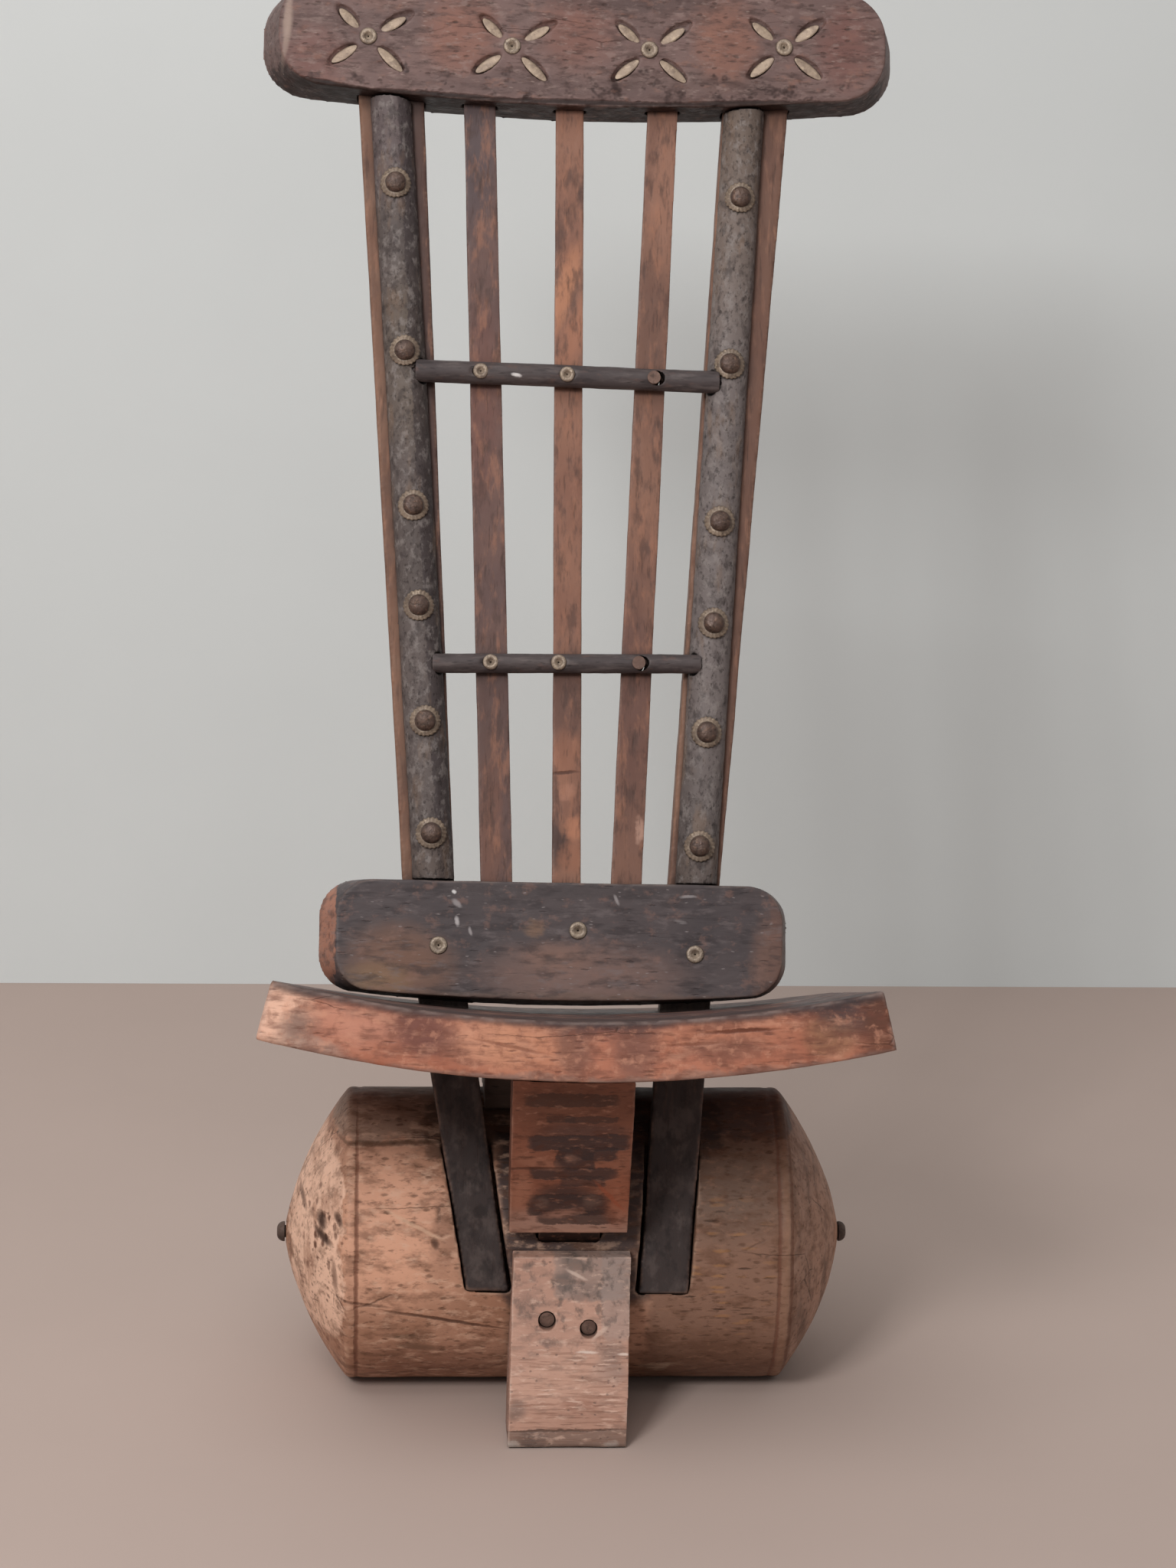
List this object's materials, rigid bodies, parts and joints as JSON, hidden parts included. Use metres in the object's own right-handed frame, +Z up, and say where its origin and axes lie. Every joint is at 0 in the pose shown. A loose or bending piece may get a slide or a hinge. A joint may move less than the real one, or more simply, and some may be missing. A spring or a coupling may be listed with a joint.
{
  "type": "reclining chair",
  "caption": "Low carved hardwood chair with a log drum base, front leg, dished seat and a tall reclined slat back with nailed strips and an inlaid crest rail.",
  "frame": {"origin": "on the floor, under the drum's axis and midway along it, on the flat hewn along the drum's underside", "axes": "+X along the drum, to the right of someone who faces the chair's front; +Y to the rear; +Z up"},
  "size_m": [0.4156, 0.4104, 0.8852],
  "materials": {
    "log_wood": "hewn hardwood, worn and rubbed, with a dark patina",
    "leg_wood": "hewn hardwood, dry and worn, with scorched marks",
    "seat_wood": "hewn hardwood, polished by use",
    "stile_wood": "hewn hardwood, dull and darkened",
    "strip_wood": "smoke-darkened hardwood, dull",
    "slat_wood": "split and scraped hardwood, worn",
    "board_wood": "smoke-darkened hardwood, rubbed to a low polish",
    "crest_wood": "dark hardwood with a handled, low polish",
    "peg_wood": "end grain of whittled hardwood pegs, dark",
    "iron": "forged iron nail heads, rusted brown",
    "brass": "tarnished sheet brass",
    "inlay_brass": "thin beaten brass, dulled and pale"
  },
  "bodies": {
    "root": {"drum": "log_wood", "drum_knob_left": "peg_wood", "drum_knob_right": "peg_wood", "front_foot": "leg_wood", "foot_pegs": "peg_wood", "seat_brace": "leg_wood", "saddle_block": "log_wood", "saddle_pegs": "peg_wood", "seat": "seat_wood", "stile_left": "stile_wood", "stile_right": "stile_wood", "tail_dowels": "peg_wood", "cover_strip_left": "strip_wood", "cover_strip_right": "strip_wood", "slat_left": "slat_wood", "slat_centre": "slat_wood", "slat_right": "slat_wood", "slat_tacks": "iron", "crossbar_upper": "strip_wood", "crossbar_lower": "strip_wood", "crossbar_eyelets": "brass", "crossbar_plugs": "peg_wood", "lumbar_board": "board_wood", "board_eyelets": "brass", "crest_rail": "crest_wood", "crest_pegs": "peg_wood", "flower_inlays": "inlay_brass", "flower_eyelets": "brass", "dome_nails_left": "iron", "dome_nails_right": "iron", "nail_washers_left": "brass", "nail_washers_right": "brass"}
  },
  "joints": []
}
